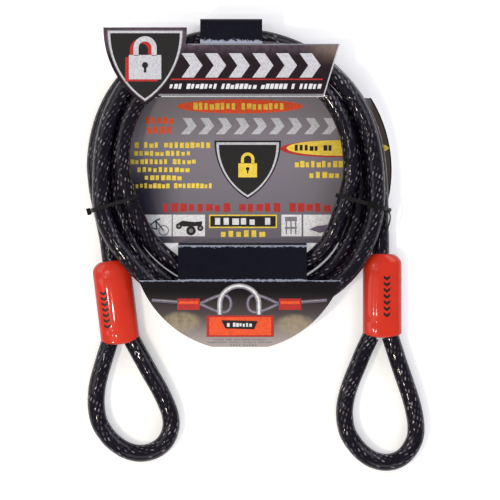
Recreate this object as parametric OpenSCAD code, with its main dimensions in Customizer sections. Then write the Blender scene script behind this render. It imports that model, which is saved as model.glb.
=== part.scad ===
// Coiled security cable with a crimped eye at each end, tied up on its folded display card.
// Frame: the coil's centre is above the origin, +Z is up, and the card's back lies on Z = 0.
// The two eyes hang off the coil towards -Y.

/* [Cable] */
// Outer diameter of the vinyl jacket, mm
cable_d = 13; // [12:0.5:13]
// Diameter of the steel wire rope inside it, mm
rope_d = 9; // [7:0.5:9]
// Number of sides of every swept tube
sides = 10; // [8:2:12]
// Rings in one turn of the coil
rings_per_turn = 24; // [16:2:24]

/* [Crimped ends] */
// Length of a red sleeve, mm
sleeve_l = 63; // [60:1:66]
// Width of a sleeve, across its two cables, mm
sleeve_w = 29; // [28:0.5:31]
// Thickness of a sleeve, mm
sleeve_t = 17.8; // [17.4:0.2:18]
// Wall of a sleeve, mm
sleeve_wall = 1.5; // [1.2:0.1:1.6]
// Length of the aluminium ferrule inside it, mm
ferrule_l = 30; // [26:1:32]

/* [Ties] */
// Width of a cable tie's band, mm
tie_w = 3; // [2:0.5:4]
// Thickness of a cable tie's band, mm
tie_t = 1.1; // [0.8:0.1:1.1]

/* [Card] */
// Thickness of the card, mm
card_t = 0.5; // [0.3:0.1:0.5]
// Width of the strap that wraps the top of the coil, mm
strap_w = 46; // [40:1:50]
// Width of the band that climbs over the bottom of the coil, mm
band_w = 96; // [80:1:100]

/* [Hidden] */

$fn = 64;
LEFT = 0;
RIGHT = 1;
cable_r = cable_d / 2;
rope_r = rope_d / 2;
jacket_bore_r = rope_r + 0.2;
low_z = 8.9;                  // height of the lowest cable's middle, on its ties
sleeve_z = sleeve_t / 2;      // the sleeves lie on the surface, as the card does
eye_tip_z = cable_r + 0.1;    // the far end of each eye droops to the surface
gap = 0.3;                    // running gap between pieces that only touch

vinyl_black = [0.10, 0.09, 0.11];
steel_grey = [0.72, 0.73, 0.75];
sleeve_red = [0.80, 0.20, 0.12];
tie_black = [0.05, 0.05, 0.05];
card_grey = [0.38, 0.36, 0.37];
card_black = [0.08, 0.07, 0.08];

// The coil: [turns from the left tie, distance from the coil's centre, height above low_z].
// It runs clockwise seen from above, over the top first, and its four passes over the top
// twist a quarter turn, so that each pass comes down one place further round the bundle.
COIL = [
    // first pass: comes in lowest and outermost, and crosses under the others
    [0, 106, 0], [0.125, 105, 0], [0.25, 91, 0], [0.375, 87, 0], [0.5, 92, 0],
    [0.5625, 97.2, 0], [0.625, 102.8, 0], [0.75, 100, 0], [0.875, 98.5, 0], [0.9375, 93.9, 0],
    // second pass: climbs up the inside, and drops to the innermost place along the bottom
    [1, 92.5, 0], [1.125, 92, 2.5], [1.25, 80.5, 8.5], [1.375, 86, 13.5], [1.5, 85.5, 11.5],
    [1.5625, 84.8, 8], [1.625, 88.6, 1], [1.75, 86.5, 0], [1.875, 85, 1], [1.9375, 83.6, 8.4],
    // third pass: goes over the top, then outside, across both tails and sleeve corners
    [2, 86, 11.5], [2.125, 89, 15], [2.25, 87, 20], [2.375, 99, 14.5], [2.5, 103, 13.5],
    [2.5625, 109.6, 14], [2.625, 114.2, 13], [2.75, 110, 9.5], [2.875, 106, 13.6], [2.9375, 106, 13.6],
    // last half pass: comes down the outside to the right tail
    [3, 101, 12.5], [3.125, 102, 13], [3.25, 97.5, 11.5], [3.375, 100.5, 1], [3.5, 105.5, 0]];

// Where each tail leaves the coil, past the coil's own two ends: [x, y]
COIL_ENDS = [[-104.3, -16], [106.6, -16]];

// Each crimped end has its own frame: its origin is the middle of the sleeve's mouth, its
// first axis is across the sleeve and its second runs from the mouth towards the eye.
END_AT = [[-86.7, -132.2], [108.6, -127.4]];
END_TILT = [7, 0];
// The tail's route in that frame, from the tie into the sleeve: [across, along]
TAIL = [[[-1.8, -99], [-0.7, -88], [0, -76], [0, -60]],
        [[-1.6, -93.5], [-1.4, -82], [-1.2, -71], [-1.2, -60]]];
// The eye's route in that frame, out of the mouth on the left and back in on the right
EYE = [[[-8.2, -3], [-14, 10], [-18.5, 20.5], [-22, 31], [-24, 43], [-23.5, 54], [-20.5, 62.5],
        [-15, 71], [-6.5, 78.5], [4, 82.5], [15.5, 81.5], [24.5, 75.5], [29.5, 66], [30, 56],
        [27.5, 45.5], [24, 35.5], [19.5, 25], [14.5, 12.5], [8.3, -3]],
       [[-8.5, -1.5], [-13.7, 9.5], [-18, 20], [-22, 29.5], [-25.5, 39.5], [-27.8, 50], [-28, 60],
        [-26, 70], [-21.5, 78], [-15, 85.5], [-6.5, 91], [3.5, 93], [13, 90.5], [20, 84],
        [24.5, 75], [25.3, 65], [23.5, 53.5], [20.5, 42.5], [17, 32], [13.2, 21], [9.8, 10.5],
        [6, -1.5]]];
eye_reach = 93;               // how far the longer eye reaches from its sleeve

bore_x = rope_r + 0.15;       // the ferrule's two bores stand this far from its middle
ferrule_mouth = 14;           // the ferrule stops this far inside the sleeve
neck_depth = 5.5;             // the sleeve closes in round the tail over this length
cavity_mouth = 8.5;           // the sleeve is solid over this length at its mouth
shoulder_r = 8;               // rounding of the sleeve's shoulders
rim_r = 4;                    // rounding of the sleeve's mouth end
side_x = (sleeve_w - sleeve_t) / 2;

// The card, in the plane of the coil
panel_top_y = 52.5;
panel_bottom_y = -56.2;
panel_r = 102.3;
panel_side_x = [-9.2, 13.7];  // middles of the panel's left and right arcs
panel_side_y = -1.5;
shoulder_w = 120;             // the panel goes on at this width behind the header
shoulder_y = 62;
strap_x = -4.2;               // middle of the strap
strap_end_y = 110;            // how far the strap stands out past the coil
strap_bend_r = 5;
header_z = 35.6;              // the header lies on the coil's highest pass
header_top_y = 91.5;
header_bottom_y = 51.7;
header_x = [64.5, 76.5];      // its right edge at the bottom and at the top
badge_w = 62;                 // the shield that stands out at the header's left
badge_h = 58;
badge_at = [-68, 103.5];      // middle of the shield's top edge
band_x = 4.1;                 // middle of the band
band_knee = [-58.6, 17.4];    // where it leans over onto the cables: [y, z]
band_top_y = -84;
flap_z = 28.6;                // the lower flap lies on the coil's outer pass
flap_r = 80.2;
flap_centre = [2.3, -56];
flap_bottom_y = -133.5;
crease = 0.15;                // slit along each crease that opens

// ---- Functions -------------------------------------------------------------------------

function unit(v) = v / norm(v);
function mix(a, b, u) = a + (b - a) * u;
function ease(u) = u * u * (3 - 2 * u);

// Slope of the coil's list at entry i, per turn
function coil_slope(i) = let(a = COIL[max(i - 1, 0)], b = COIL[min(i + 1, len(COIL) - 1)])
    (b - a) / (b[0] - a[0]);

// [radius, height] of the coil at s turns: a smooth curve through the list's entries
function coil_at(s) =
    let(i = max([for (j = [0 : len(COIL) - 2]) if (COIL[j][0] <= s + 1e-6) j]),
        a = COIL[i], b = COIL[i + 1], w = b[0] - a[0], u = (s - a[0]) / w,
        p = a * (2 * u^3 - 3 * u^2 + 1) + b * (3 * u^2 - 2 * u^3)
            + (coil_slope(i) * (u^3 - 2 * u^2 + u) + coil_slope(i + 1) * (u^3 - u^2)) * w)
    [p[1], p[2]];

function coil_point(s) = let(p = coil_at(s), angle = 180 - 360 * s)
    [p[0] * cos(angle), p[0] * sin(angle), low_z + p[1]];

// A point of a crimped end, from its own frame into the part's
function from_end(side, p, z) =
    let(t = END_TILT[side])
    [END_AT[side][0] + p[0] * cos(t) + p[1] * sin(t),
     END_AT[side][1] + p[0] * sin(t) - p[1] * cos(t), z];

function eye_point(side, p) =
    from_end(side, p, mix(sleeve_z, eye_tip_z, pow(max(p[1], 0) / eye_reach, 2)));

function tail_points(side) = [for (i = [0 : len(TAIL[side]) - 1])
    from_end(side, TAIL[side][i], mix(low_z, sleeve_z, i / (len(TAIL[side]) - 1)))];

function hinge_point(side) = tail_points(side)[0];
function tail_direction(side) = unit(tail_points(side)[1] - tail_points(side)[0]);

// The jacket of the coil stops short of each hinge, to leave room for the tail's round end
function coil_end(side) = hinge_point(side) - (cable_r + gap) * tail_direction(side);
function coil_lead(side) = [COIL_ENDS[side][0], COIL_ENDS[side][1], low_z];

turns = COIL[len(COIL) - 1][0];
coil_steps = round(turns * rings_per_turn);
coil_path = concat([coil_end(LEFT), coil_lead(LEFT)],
                   [for (k = [0 : coil_steps]) coil_point(turns * k / coil_steps)],
                   [coil_lead(RIGHT), coil_end(RIGHT)]);

function eye_path(side) = [for (p = EYE[side]) eye_point(side, p)];

// The bare rope's own stretches: from the tail across to its bore, and back to its dead end
function sleeve_path(side) =
    let(from_x = TAIL[side][3][0], top = -sleeve_l + 5, bottom = -ferrule_mouth - ferrule_l)
    [for (k = [0 : 4]) from_end(side, [mix(from_x, -bore_x, ease(k / 4)), mix(top, bottom, k / 4)],
                                sleeve_z)];
function rope_path(side) = concat(
    tail_points(side), sleeve_path(side), [from_end(side, [-bore_x, -ferrule_mouth], sleeve_z)],
    eye_path(side),
    [from_end(side, [bore_x, -ferrule_mouth], sleeve_z),
     from_end(side, [bore_x, -ferrule_mouth - ferrule_l - 3], sleeve_z)]);

// ---- Swept tubes -----------------------------------------------------------------------

// One ring of points round a path's point
function ring(path, i, r) =
    let(last = len(path) - 1, t = unit(path[min(i + 1, last)] - path[max(i - 1, 0)]),
        across = unit(cross([0, 0, 1], t)), up = cross(t, across))
    [for (k = [0 : sides - 1]) path[i] + r * (cos(360 * k / sides) * across
                                              + sin(360 * k / sides) * up)];

// Triangles between ring a and ring b
function band_faces(a, b) = [for (k = [0 : sides - 1])
    let(n = (k + 1) % sides, a0 = a * sides, b0 = b * sides)
    each [[a0 + k, b0 + k, b0 + n], [a0 + k, b0 + n, a0 + n]]];

// A closed skin over a list of rings: capped at both ends, or joined end to end in a loop
module skin(rings, loop = false) {
    n = len(rings);
    first_cap = [for (k = [1 : sides - 2]) [0, k, k + 1]];
    last_cap = [for (k = [1 : sides - 2]) (n - 1) * sides * [1, 1, 1] + [0, k + 1, k]];
    joints = [for (i = [0 : n - (loop ? 1 : 2)]) each band_faces(i, (i + 1) % n)];
    polyhedron(points = [for (r = rings) each r],
               faces = loop ? joints : concat(first_cap, joints, last_cap));
}

function rings_of(path, r) = [for (i = [0 : len(path) - 1]) ring(path, i, r)];
function reversed(list) = [for (i = [len(list) - 1 : -1 : 0]) list[i]];

module rod(path) {
    skin(rings_of(path, rope_r));
}

// A vinyl jacket, open at both ends
module jacket(path) {
    skin(concat(rings_of(path, cable_r), reversed(rings_of(path, jacket_bore_r))), loop = true);
}

// Rings of a half ball that ends a tube at its first point
function dome_rings(path, r) = [for (a = [80, 50, 25])
    [for (p = ring(path, 0, r * cos(a))) p - unit(path[1] - path[0]) * r * sin(a)]];

// A vinyl jacket with one round, closed end, to turn in place at the hinge
module domed_jacket(path) {
    skin(concat(dome_rings(path, cable_r), rings_of(path, cable_r),
                reversed(rings_of(path, jacket_bore_r))));
}

// ---- Crimped ends ----------------------------------------------------------------------

// Places a shape drawn along its own +Z, from the mouth inwards, in a crimped end
module at_end(side) {
    translate([END_AT[side][0], END_AT[side][1], sleeve_z])
        rotate([-90, 0, END_TILT[side]])
            children();
}

// Cross-section of two round sides joined by flats
module stadium(half, r) {
    square([2 * half, 2 * r], center = true);
    for (x = [-half, half]) translate([x, 0]) circle(r);
}

// Half of a long outline with rounded ends, on the positive side of its axis
module post_outline(r, l, r_low, r_high) {
    square([r - max(r_low, r_high), l]);
    translate([0, r_low]) square([r, l - r_low - r_high]);
    translate([r - r_low, r_low]) circle(r_low);
    translate([r - r_high, l - r_high]) circle(r_high);
    square([r - r_low, r_low]);
    translate([0, l - r_high]) square([r - r_high, r_high]);
}

module sleeve_outer() {
    r = sleeve_t / 2;
    for (x = [-side_x, side_x])
        translate([x, 0, 0])
            rotate_extrude()
                intersection() {
                    post_outline(r, sleeve_l, rim_r, shoulder_r);
                    square([r, sleeve_l]);
                }
    rotate([90, 0, 90])
        linear_extrude(2 * side_x, center = true)
            for (m = [0, 1]) mirror([m, 0]) post_outline(r, sleeve_l, rim_r, shoulder_r);
}

// A round hole for one leg of the eye, along its first stretch, through the sleeve's mouth
module leg_hole(inner, outer) {
    slope = atan2(inner[0] - outer[0], outer[1] - inner[1]);
    translate([inner[0], 0, -inner[1]])
        rotate([0, slope, 0])
            translate([0, 0, -20]) cylinder(r = cable_r + 0.15, h = 20 + cavity_mouth + 2.5);
}

module sleeve(side) {
    eye = EYE[side];
    last = len(eye) - 1;
    tail_x = TAIL[side][3][0];
    color(sleeve_red)
        at_end(side)
            difference() {
                sleeve_outer();
                translate([0, 0, cavity_mouth])
                    linear_extrude(sleeve_l - cavity_mouth - neck_depth)
                        stadium(side_x, sleeve_t / 2 - sleeve_wall);
                translate([tail_x, 0, sleeve_l / 2]) cylinder(r = cable_r + 0.1, h = sleeve_l);
                leg_hole(eye[0], eye[1]);
                leg_hole(eye[last], eye[last - 1]);
            }
}

// Oval two-bore ferrule with three crimped waists
module ferrule(side) {
    r = sleeve_t / 2 - sleeve_wall - 0.1;
    waist = ferrule_l / 7;
    color(steel_grey)
        at_end(side)
            translate([0, 0, ferrule_mouth])
                difference() {
                    union() {
                        linear_extrude(ferrule_l) stadium(side_x, r - 0.5);
                        for (k = [0, 2, 4, 6])
                            translate([0, 0, k * waist]) linear_extrude(waist) stadium(side_x, r);
                    }
                    for (x = [-bore_x, bore_x])
                        translate([x, 0, -1]) cylinder(r = rope_r + 0.08, h = ferrule_l + 2);
                }
}

module tail_jacket(side) {
    color(vinyl_black) domed_jacket(tail_points(side));
}

module eye_jacket(side) {
    color(vinyl_black) jacket(eye_path(side));
}

module rope(side) {
    color(steel_grey) rod(rope_path(side));
}

// ---- Coil and ties ---------------------------------------------------------------------

module coil_jacket() {
    color(vinyl_black) jacket(coil_path);
}

module coil_rope() {
    color(steel_grey) rod(coil_path);
}

// A tie stands in the upright plane through the coil's middle and the tail's start
tie_back = 4.2;               // distance from the hinge back to the middle of the tie
function tie_point(side, back) = hinge_point(side) - back * tail_direction(side);
function tie_angle(side) = let(p = tie_point(side, tie_back)) atan2(p[1], p[0]);

// The cables' middles in that plane: the tail at both faces of the tie, then the coil's passes
function tied_cables(side) =
    let(angle = tie_angle(side), out = [cos(angle), sin(angle), 0],
        s = (180 - angle) / 360)
    concat([for (d = [-tie_w / 2, tie_w / 2]) [tie_point(side, tie_back + d) * out, 0]],
           [for (k = [0 : 2]) coil_at(s + k)]);

module wrapped(places, r) {
    hull() for (p = places) translate([p[0], low_z + p[1]]) circle(r, $fn = 32);
}

module tie(side) {
    places = tied_cables(side);
    snug = cable_r + 2.5 * gap;
    outer = snug + tie_t;
    color(tie_black)
        rotate([90, 0, tie_angle(side)]) {
            linear_extrude(tie_w, center = true)
                difference() {
                    wrapped(places, outer);
                    wrapped(places, snug);
                }
            if (side == LEFT) tie_head([max(places[0][0], places[1][0]) + outer + 1.2, low_z + 1], 3, 5);
            else tie_head([places[4][0] - 4, low_z + places[4][1] + outer + 1.2], 5, 3);
        }
}

// The block that a tie's tail locks into
module tie_head(at, w, h) {
    translate([at[0], at[1], 0]) cube([w, h, tie_w + 2], center = true);
}

// ---- Card ------------------------------------------------------------------------------

module card_sheet(z) {
    translate([0, 0, z]) linear_extrude(card_t) children();
}

// A card profile in the plane across a crease: drawn as [y, z], drawn out along X
module folded(x, width) {
    translate([x, 0, 0]) rotate([90, 0, 90]) linear_extrude(width, center = true) children();
}

// A rectangle centred on X between two heights of the card
module card_block(x, width, from_y, to_y) {
    translate([x - width / 2, from_y]) square([width, to_y - from_y]);
}

module card_panel() {
    color(card_grey)
        card_sheet(0) {
            intersection() {
                for (x = panel_side_x) translate([x, panel_side_y]) circle(panel_r, $fn = 128);
                card_block(0, 3 * panel_r, panel_bottom_y, panel_top_y);
            }
            card_block(0, shoulder_w, panel_bottom_y, shoulder_y);
            card_block(strap_x, strap_w, panel_bottom_y, strap_end_y - strap_bend_r);
        }
}

// The strap rises round the outside of the coil from the panel's neck to the header
module card_strap() {
    bend_y = strap_end_y - strap_bend_r;
    top_z = header_z + card_t;
    color(card_black)
        folded(strap_x, strap_w) {
            difference() {
                union() {
                    translate([bend_y, strap_bend_r]) circle(strap_bend_r);
                    translate([bend_y, top_z - strap_bend_r]) circle(strap_bend_r);
                    translate([bend_y, strap_bend_r])
                        square([strap_bend_r, top_z - 2 * strap_bend_r]);
                }
                translate([bend_y, strap_bend_r]) circle(strap_bend_r - card_t);
                translate([bend_y, top_z - strap_bend_r]) circle(strap_bend_r - card_t);
                translate([bend_y - 1, strap_bend_r])
                    square([strap_bend_r - card_t + 1, top_z - 2 * strap_bend_r]);
                translate([bend_y - 2 * strap_bend_r, -1])
                    square([2 * strap_bend_r, top_z + 2]);
            }
            translate([header_top_y, header_z]) square([bend_y - header_top_y, card_t]);
        }
}

// Point on a side of the shield, d below its straight top: two arcs that meet at the bottom
function badge_side(side, d) =
    let(r = (badge_h^2 + badge_w^2 / 4) / badge_w)
    badge_at + [side * (sqrt(r^2 - d^2) - r + badge_w / 2), -d];

// The shield and the banner to its right are cut in one piece
module header_flap() {
    top = badge_at[1] - header_top_y + crease;
    bottom = badge_at[1] - header_bottom_y;
    color(card_black)
        card_sheet(header_z)
            polygon(concat(
                [for (u = [0 : 1 / 4 : 1]) badge_side(1, u * top)],
                [[header_x[1], header_top_y - crease], [header_x[0], header_bottom_y]],
                [for (u = [0 : 1 / 3 : 1]) badge_side(1, mix(bottom, badge_h, u))],
                [for (u = [23 / 24 : -1 / 24 : 0]) badge_side(-1, u * badge_h)]));
}

module card_band() {
    bottom = [panel_bottom_y, 0];
    top = [band_top_y, flap_z];
    color(card_black)
        folded(band_x, band_w)
            polygon([bottom, bottom + [0, card_t], band_knee + [card_t, card_t], top + [0, card_t],
                     top, band_knee, bottom - [card_t, 0]]);
}

module lower_flap() {
    color(card_grey)
        card_sheet(flap_z)
            intersection() {
                translate(flap_centre) circle(flap_r, $fn = 128);
                card_block(0, 3 * flap_r, flap_bottom_y, band_top_y - crease);
            }
}

coil_jacket();
coil_rope();
tie(LEFT);  // left_tie
tie(RIGHT);  // right_tie
card_panel();
card_strap();
card_band();
header_flap();
lower_flap();
tail_jacket(LEFT);  // left_tail_jacket
rope(LEFT);  // left_rope
ferrule(LEFT);  // left_ferrule
sleeve(LEFT);  // left_sleeve
eye_jacket(LEFT);  // left_eye_jacket
tail_jacket(RIGHT);  // right_tail_jacket
rope(RIGHT);  // right_rope
ferrule(RIGHT);  // right_ferrule
sleeve(RIGHT);  // right_sleeve
eye_jacket(RIGHT);  // right_eye_jacket
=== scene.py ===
"""Looks for a coiled security cable, tied up on its folded display card.

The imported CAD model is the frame. Tables hold millimetres, and MM turns them into metres.
Lengths inside materials, and the lights' places and sizes, are in metres.
"""
import math
import random

import bmesh
import bpy
from mathutils import Matrix, Vector


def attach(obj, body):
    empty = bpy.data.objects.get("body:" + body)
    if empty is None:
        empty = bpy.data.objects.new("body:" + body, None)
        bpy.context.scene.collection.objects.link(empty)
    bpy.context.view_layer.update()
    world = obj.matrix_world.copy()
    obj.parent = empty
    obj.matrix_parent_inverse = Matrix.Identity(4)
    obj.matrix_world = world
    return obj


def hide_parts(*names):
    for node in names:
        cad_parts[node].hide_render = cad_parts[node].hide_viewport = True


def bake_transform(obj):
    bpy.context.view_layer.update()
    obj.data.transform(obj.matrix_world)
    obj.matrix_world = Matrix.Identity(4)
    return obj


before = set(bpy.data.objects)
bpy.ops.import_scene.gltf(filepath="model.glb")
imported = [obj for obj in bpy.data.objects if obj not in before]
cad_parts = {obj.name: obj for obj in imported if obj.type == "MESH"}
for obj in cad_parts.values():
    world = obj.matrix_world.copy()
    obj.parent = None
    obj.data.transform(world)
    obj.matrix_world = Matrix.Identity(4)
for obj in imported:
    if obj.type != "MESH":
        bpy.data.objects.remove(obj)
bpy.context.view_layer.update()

MM = 0.001
LEFT, RIGHT = 0, 1
SIDES = ("left", "right")

# ---- Camera --------------------------------------------------------------------------------

VIEW_CENTRE = (9.75, -61.5)
VIEW_WIDTH = 375
CAMERA_HEIGHT = 3000
SENSOR = 36

camera = bpy.data.objects.new("camera", bpy.data.cameras.new("camera"))
camera.data.sensor_width = SENSOR
camera.data.lens = SENSOR * CAMERA_HEIGHT / VIEW_WIDTH
camera.location = Vector((*VIEW_CENTRE, CAMERA_HEIGHT)) * MM
bpy.context.scene.collection.objects.link(camera)
bpy.context.scene.camera = camera
bpy.context.scene.view_settings.view_transform = "Standard"

# ---- The cable's route, as in part.scad ----------------------------------------------------

CABLE_R = 6.5
ROPE_R = 4.5
LOW_Z = 8.9
SLEEVE_Z = 8.9
EYE_TIP_Z = 6.6
EYE_REACH = 93
SLEEVE_L = 63
GAP = 0.3

# [turns from the left tie, distance from the coil's centre, height above LOW_Z]
COIL = [
    (0, 106, 0), (0.125, 105, 0), (0.25, 91, 0), (0.375, 87, 0), (0.5, 92, 0),
    (0.5625, 97.2, 0), (0.625, 102.8, 0), (0.75, 100, 0), (0.875, 98.5, 0), (0.9375, 93.9, 0),
    (1, 92.5, 0), (1.125, 92, 2.5), (1.25, 80.5, 8.5), (1.375, 86, 13.5), (1.5, 85.5, 11.5),
    (1.5625, 84.8, 8), (1.625, 88.6, 1), (1.75, 86.5, 0), (1.875, 85, 1), (1.9375, 83.6, 8.4),
    (2, 86, 11.5), (2.125, 89, 15), (2.25, 87, 20), (2.375, 99, 14.5), (2.5, 103, 13.5),
    (2.5625, 109.6, 14), (2.625, 114.2, 13), (2.75, 110, 9.5), (2.875, 106, 13.6), (2.9375, 106, 13.6),
    (3, 101, 12.5), (3.125, 102, 13), (3.25, 97.5, 11.5), (3.375, 100.5, 1), (3.5, 105.5, 0)]
# Where the coil's two ends lead into the tails
COIL_ENDS = [(-104.3, -16), (106.6, -16)]
# The middle of each sleeve's mouth, and how far the sleeve is turned, in degrees
END_AT = [(-86.7, -132.2), (108.6, -127.4)]
END_TILT = [7, 0]
# Routes in each end's own frame, as [across the sleeve, from its mouth towards the eye]
TAIL = [[(-1.8, -99), (-0.7, -88), (0, -76), (0, -60)],
        [(-1.6, -93.5), (-1.4, -82), (-1.2, -71), (-1.2, -60)]]
EYE = [[(-8.2, -3), (-14, 10), (-18.5, 20.5), (-22, 31), (-24, 43), (-23.5, 54), (-20.5, 62.5),
        (-15, 71), (-6.5, 78.5), (4, 82.5), (15.5, 81.5), (24.5, 75.5), (29.5, 66), (30, 56),
        (27.5, 45.5), (24, 35.5), (19.5, 25), (14.5, 12.5), (8.3, -3)],
       [(-8.5, -1.5), (-13.7, 9.5), (-18, 20), (-22, 29.5), (-25.5, 39.5), (-27.8, 50), (-28, 60),
        (-26, 70), (-21.5, 78), (-15, 85.5), (-6.5, 91), (3.5, 93), (13, 90.5), (20, 84),
        (24.5, 75), (25.3, 65), (23.5, 53.5), (20.5, 42.5), (17, 32), (13.2, 21), (9.8, 10.5),
        (6, -1.5)]]
# The ties stand this far back from the hinges of the tails
TIE_BACK = 4.2
TIE_T = 1.1
TIE_W = 3


def mix(a, b, u):
    return a + (b - a) * u


def coil_at(s):
    """(radius, height) of the coil, s turns from the left tie."""
    i = max(j for j in range(len(COIL) - 1) if COIL[j][0] <= s + 1e-6)
    width = COIL[i + 1][0] - COIL[i][0]
    u = (s - COIL[i][0]) / width

    def slope(j, k):
        before, after = COIL[max(j - 1, 0)], COIL[min(j + 1, len(COIL) - 1)]
        return (after[k] - before[k]) / (after[0] - before[0])

    return tuple(
        COIL[i][k] * (2 * u**3 - 3 * u**2 + 1) + COIL[i + 1][k] * (3 * u**2 - 2 * u**3)
        + (slope(i, k) * (u**3 - 2 * u**2 + u) + slope(i + 1, k) * (u**3 - u**2)) * width
        for k in (1, 2))


def coil_point(s):
    r, z = coil_at(s)
    angle = math.pi - 2 * math.pi * s
    return Vector((r * math.cos(angle), r * math.sin(angle), LOW_Z + z))


def from_end(side, across, along, z):
    """A point of a crimped end, from its own frame: across the sleeve, and along to the eye."""
    t = math.radians(END_TILT[side])
    return Vector((END_AT[side][0] + across * math.cos(t) + along * math.sin(t),
                   END_AT[side][1] + across * math.sin(t) - along * math.cos(t), z))


def eye_point(side, across, along):
    return from_end(side, across, along, mix(SLEEVE_Z, EYE_TIP_Z, (max(along, 0) / EYE_REACH) ** 2))


def tail_points(side):
    last = len(TAIL[side]) - 1
    return [from_end(side, *p, mix(LOW_Z, SLEEVE_Z, i / last)) for i, p in enumerate(TAIL[side])]


def hinge(side):
    return tail_points(side)[0]


def tail_direction(side):
    first, second = tail_points(side)[:2]
    return (second - first).normalized()


def smooth(points, step):
    """A smooth curve through the points, with its own points about step apart."""
    out = []
    for i in range(len(points) - 1):
        a, b = points[max(i - 1, 0)], points[i]
        c, d = points[i + 1], points[min(i + 2, len(points) - 1)]
        count = max(1, round((c - b).length / step))
        for k in range(count):
            u = k / count
            out.append(0.5 * (2 * b + (c - a) * u + (2 * a - 5 * b + 4 * c - d) * u**2
                              + (3 * b - a - 3 * c + d) * u**3))
    return out + [points[-1].copy()]


COIL_STEPS = 420
ROUTE_STEP = 1.6
turns = COIL[-1][0]
seams = [hinge(side) - TIE_BACK * tail_direction(side) for side in (LEFT, RIGHT)]
leads = [Vector((*COIL_ENDS[side], LOW_Z)) for side in (LEFT, RIGHT)]
coil_route = (smooth([seams[LEFT], leads[LEFT], coil_point(0)], ROUTE_STEP)[:-1]
              + [coil_point(turns * k / COIL_STEPS) for k in range(COIL_STEPS)]
              + smooth([coil_point(turns), leads[RIGHT], seams[RIGHT]], ROUTE_STEP))
tail_routes = [smooth([seams[side]] + tail_points(side), ROUTE_STEP) for side in (LEFT, RIGHT)]
eye_routes = [smooth([eye_point(side, *p) for p in EYE[side]], ROUTE_STEP) for side in (LEFT, RIGHT)]

# ---- Mesh helpers --------------------------------------------------------------------------


def new_piece(name, verts, faces, material, shade=True):
    """A mesh object from points in millimetres."""
    mesh = bpy.data.meshes.new(name)
    mesh.from_pydata([tuple(Vector(v) * MM) for v in verts], [], faces)
    mesh.materials.append(material)
    mesh.polygons.foreach_set("use_smooth", [shade] * len(faces))
    mesh.update()
    obj = bpy.data.objects.new(name, mesh)
    bpy.context.scene.collection.objects.link(obj)
    return obj


def place(obj, body):
    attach(obj, body)
    return obj


def frames(path):
    """(point, across, up) along a path; across stays level."""
    for i, p in enumerate(path):
        t = (path[min(i + 1, len(path) - 1)] - path[max(i - 1, 0)]).normalized()
        across = Vector((0, 0, 1)).cross(t).normalized()
        yield p, across, t.cross(across)


def tube(name, path, radius, material, sides=24):
    """A round tube whose UVs are (share of the way round, metres along)."""
    verts, faces, along = [], [], [0.0]
    for a, b in zip(path, path[1:]):
        along.append(along[-1] + (b - a).length * MM)
    for p, across, up in frames(path):
        for k in range(sides):
            angle = 2 * math.pi * k / sides
            verts.append(p + radius * (math.cos(angle) * across + math.sin(angle) * up))
    uvs = []
    for i in range(len(path) - 1):
        for k in range(sides):
            n = (k + 1) % sides
            faces.append((i * sides + k, (i + 1) * sides + k, (i + 1) * sides + n, i * sides + n))
            uvs += [(k / sides, along[i]), (k / sides, along[i + 1]),
                    ((k + 1) / sides, along[i + 1]), ((k + 1) / sides, along[i])]
    for ring in (0, len(path) - 1):
        cap = [ring * sides + k for k in range(sides)]
        faces.append(tuple(cap if ring == 0 else cap[::-1]))
        uvs += [(k / sides, along[ring]) for k in range(sides)]
    obj = new_piece(name, verts, faces, material)
    layer = obj.data.uv_layers.new(name="UVMap")
    for loop, uv in zip(layer.data, uvs):
        loop.uv = uv
    return obj


# ---- Materials -----------------------------------------------------------------------------


def new_material(name):
    mat = bpy.data.materials.new(name)
    mat.use_nodes = True
    return mat, mat.node_tree.nodes["Principled BSDF"]


def feed(mat, target, inputs):
    for key, value in inputs.items():
        if isinstance(value, bpy.types.NodeSocket):
            mat.node_tree.links.new(value, target.inputs[key])
        else:
            target.inputs[key].default_value = value


def add(mat, kind, inputs, **settings):
    made = mat.node_tree.nodes.new(kind)
    for key, value in settings.items():
        setattr(made, key, value)
    feed(mat, made, inputs)
    return made


def maths(mat, operation, a, b=0.0, c=0.0):
    return add(mat, "ShaderNodeMath", {0: a, 1: b, 2: c}, operation=operation).outputs[0]


def coords(mat, kind="Object"):
    return add(mat, "ShaderNodeTexCoord", {}).outputs[kind]


def noise(mat, vector, scale, detail=2.0, roughness=0.5):
    return add(mat, "ShaderNodeTexNoise", {"Vector": vector, "Scale": scale, "Detail": detail,
                                           "Roughness": roughness}).outputs[0]


def ramp(mat, fac, stops):
    made = add(mat, "ShaderNodeValToRGB", {0: fac})
    elements = made.color_ramp.elements
    while len(elements) < len(stops):
        elements.new(0.5)
    for element, (position, colour) in zip(elements, stops):
        element.position = position
        element.color = (*colour, 1)
    return made.outputs[0]


def blend_colour(mat, fac, a, b):
    made = add(mat, "ShaderNodeMix", {}, data_type="RGBA")
    feed(mat, made, {"Factor": fac})
    for key, value in ((6, a), (7, b)):
        if isinstance(value, bpy.types.NodeSocket):
            mat.node_tree.links.new(value, made.inputs[key])
        else:
            made.inputs[key].default_value = (*value, 1)
    return made.outputs[2]


def span(mat, value, low, high):
    """0 at low, 1 at high, smooth between."""
    return add(mat, "ShaderNodeMapRange", {"Value": value, "From Min": low, "From Max": high},
               interpolation_type="SMOOTHSTEP").outputs[0]


def bump(mat, height, distance):
    return add(mat, "ShaderNodeBump", {"Height": height, "Distance": distance}).outputs[0]


# The wires' painted glints lie in rows that wind round the cable: their lay and pitch are in metres
ROWS = 14
ROW_LAY = 0.115
GLINT_PITCH = 0.0050
STAGGER = 5


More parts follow.
